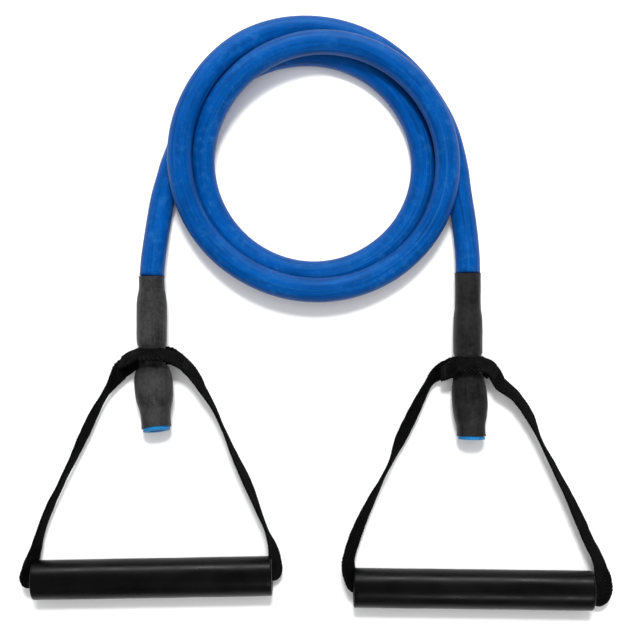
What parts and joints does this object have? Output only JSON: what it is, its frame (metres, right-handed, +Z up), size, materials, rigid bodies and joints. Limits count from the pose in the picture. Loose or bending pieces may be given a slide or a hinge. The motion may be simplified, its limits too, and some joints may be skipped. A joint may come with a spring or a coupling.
{
  "type": "resistance band",
  "caption": "Rubber exercise tube wound into a loose coil, with sleeved ends, swivelling webbing straps and round spinning hand grips.",
  "frame": {"origin": "on the floor, in the middle of the box round the two handles and the sleeved tube ends", "axes": "+X runs along the handles from left to right, +Y from the handles towards the coil, +Z up from the surface that it lies on"},
  "size_m": [0.3088, 0.3185, 0.03],
  "materials": {
    "tube_rubber": "satin latex rubber with a faint chalky bloom",
    "sleeve_rubber": "matte shrink sleeve with fine lengthwise lines",
    "webbing": "woven webbing with a fine herringbone",
    "thread": "bonded sewing thread",
    "core_plastic": "extruded rigid pipe",
    "grip_vinyl": "smooth satin soft cover",
    "plug_plastic": "moulded plug"
  },
  "bodies": {
    "tube": {"tube_coil": "tube_rubber", "left_tube_tail": "tube_rubber", "right_tube_tail": "tube_rubber", "left_tube_end": "tube_rubber", "left_end_plug": "plug_plastic", "left_inner_sleeve": "sleeve_rubber", "left_outer_sleeve": "sleeve_rubber", "right_tube_end": "tube_rubber", "right_end_plug": "plug_plastic", "right_inner_sleeve": "sleeve_rubber", "right_outer_sleeve": "sleeve_rubber"},
    "left_eye": {"left_strap_eye": "webbing", "left_eye_stitching": "thread"},
    "left_strap": {"left_strap_outer_leg": "webbing", "left_strap_inner_leg": "webbing", "left_strap_grip_run": "webbing"},
    "left_grip": {"left_grip_core": "core_plastic", "left_grip_cover": "grip_vinyl"},
    "right_eye": {"right_strap_eye": "webbing", "right_eye_stitching": "thread"},
    "right_strap": {"right_strap_outer_leg": "webbing", "right_strap_inner_leg": "webbing", "right_strap_grip_run": "webbing"},
    "right_grip": {"right_grip_core": "core_plastic", "right_grip_cover": "grip_vinyl"}
  },
  "joints": [
    {"name": "left_eye_swivel", "type": "hinge", "parent": "tube", "child": "left_eye", "pos_m": [-0.0876, 0.0462, 0.0103], "axis": [0, 1, 0], "continuous": true},
    {"name": "left_strap_lift", "type": "hinge", "parent": "left_eye", "child": "left_strap", "pos_m": [-0.0876, 0.0462, 0.0103], "axis": [-1, 0, 0], "range_deg": [0, 120]},
    {"name": "left_grip_spin", "type": "hinge", "parent": "left_strap", "child": "left_grip", "pos_m": [-0.0872, -0.0718, 0.0105], "axis": [0.9998, 0.0175, 0], "continuous": true},
    {"name": "right_eye_swivel", "type": "hinge", "parent": "tube", "child": "right_eye", "pos_m": [0.08, 0.0418, 0.0103], "axis": [0, 1, 0], "continuous": true},
    {"name": "right_strap_lift", "type": "hinge", "parent": "right_eye", "child": "right_strap", "pos_m": [0.08, 0.0418, 0.0103], "axis": [-1, 0, 0], "range_deg": [0, 120]},
    {"name": "right_grip_spin", "type": "hinge", "parent": "right_strap", "child": "right_grip", "pos_m": [0.0828, -0.0777, 0.0105], "axis": [0.9999, -0.0122, 0], "continuous": true}
  ]
}
